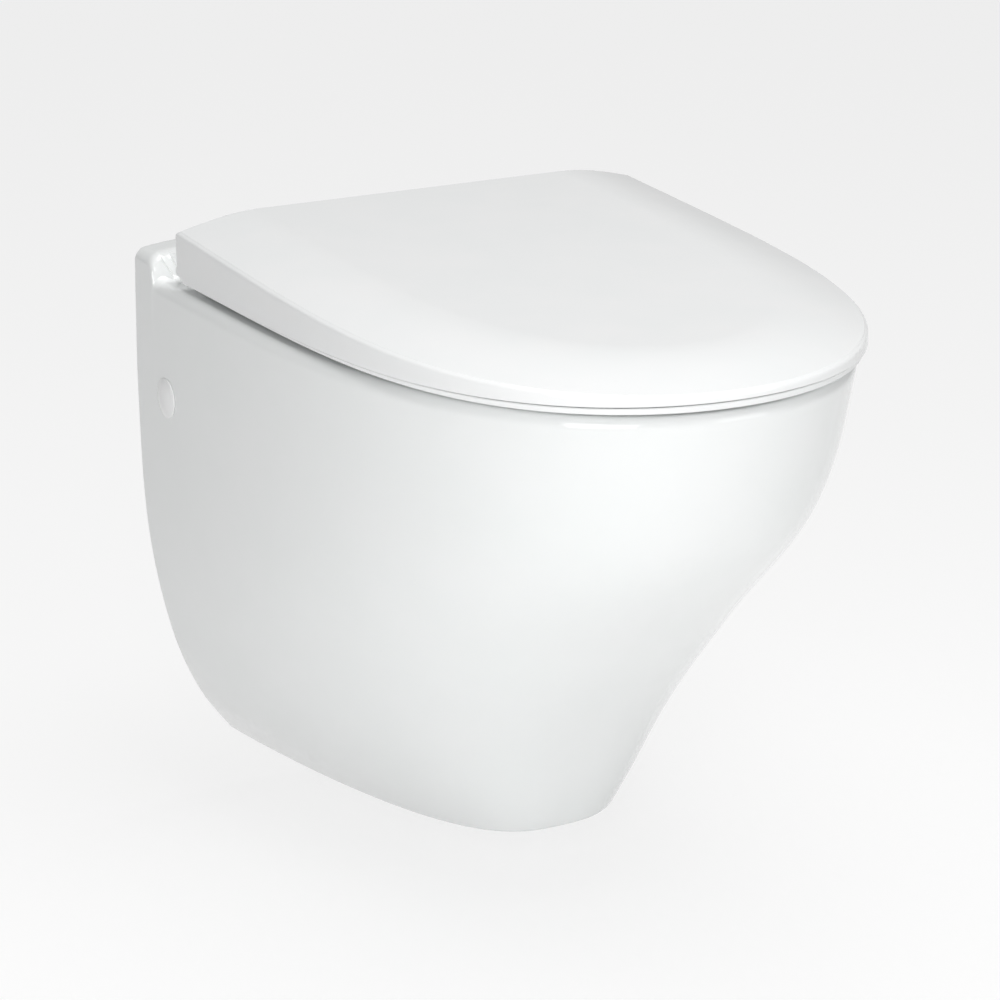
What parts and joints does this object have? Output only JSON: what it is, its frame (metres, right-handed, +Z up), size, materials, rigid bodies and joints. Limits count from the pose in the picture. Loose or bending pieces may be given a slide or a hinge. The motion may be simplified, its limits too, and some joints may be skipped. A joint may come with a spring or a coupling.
{
  "type": "wall hung toilet",
  "caption": "Wall hung toilet: a hollow glazed china pan with an open flushing rim and trap, hidden wall fixing, and a soft closing seat and lid on coupled hinges.",
  "frame": {"origin": "midway between the two wall studs, on the wall face", "axes": "+Y into the wall, +X to the right of someone who faces the wall, +Z up; the bowl reaches forward along -Y"},
  "size_m": [0.3856, 0.4893, 0.4045],
  "materials": {
    "glazed_china": "glossy white glaze",
    "duroplast": "polished white thermoset",
    "stainless_steel": "satin",
    "zinc_plated_steel": "bright zinc plate",
    "epdm": "matt black",
    "buffer_rubber": "matt pale grey",
    "nylon": "moulded, satin",
    "natural_nylon": "moulded, satin",
    "acetal": "turned, satin",
    "white_abs": "moulded, glossy"
  },
  "bodies": {
    "pan": {"toilet_pan": "glazed_china", "expansion_nut_left": "natural_nylon", "expansion_nut_right": "natural_nylon", "expansion_sleeve_left": "epdm", "expansion_sleeve_right": "epdm", "fixing_block_left": "nylon", "fixing_block_right": "nylon", "hinge_base_left": "stainless_steel", "hinge_base_right": "stainless_steel", "hinge_bolt_left": "stainless_steel", "hinge_bolt_right": "stainless_steel", "hinge_pin_left": "stainless_steel", "hinge_pin_right": "stainless_steel", "hinge_post_left": "stainless_steel", "hinge_post_right": "stainless_steel", "side_cap_left": "white_abs", "side_cap_right": "white_abs", "side_screw_left": "zinc_plated_steel", "side_screw_right": "zinc_plated_steel", "side_sleeve_left": "natural_nylon", "side_sleeve_right": "natural_nylon", "stud_nut_left": "zinc_plated_steel", "stud_nut_right": "zinc_plated_steel", "stud_washer_left": "zinc_plated_steel", "stud_washer_right": "zinc_plated_steel"},
    "lid": {"lid": "duroplast", "lid_buffers": "buffer_rubber", "lid_damper": "acetal", "lid_pivot_bush": "natural_nylon"},
    "seat": {"seat_ring": "duroplast", "seat_buffers_front": "buffer_rubber", "seat_buffers_rear": "buffer_rubber", "seat_damper": "acetal", "seat_pivot_bush": "natural_nylon"}
  },
  "joints": [
    {"name": "lid_hinge", "type": "hinge", "parent": "pan", "child": "lid", "pos_m": [0, -0.052, 0.1], "axis": [-1, 0, 0], "range_deg": [0, 95]},
    {"name": "seat_hinge", "type": "hinge", "parent": "pan", "child": "seat", "pos_m": [0, -0.052, 0.1], "axis": [-1, 0, 0], "range_deg": [0, 92.2]}
  ],
  "couplings": [
    {"joint": "seat_hinge", "follows": "lid_hinge", "ratio": 0.97}
  ]
}
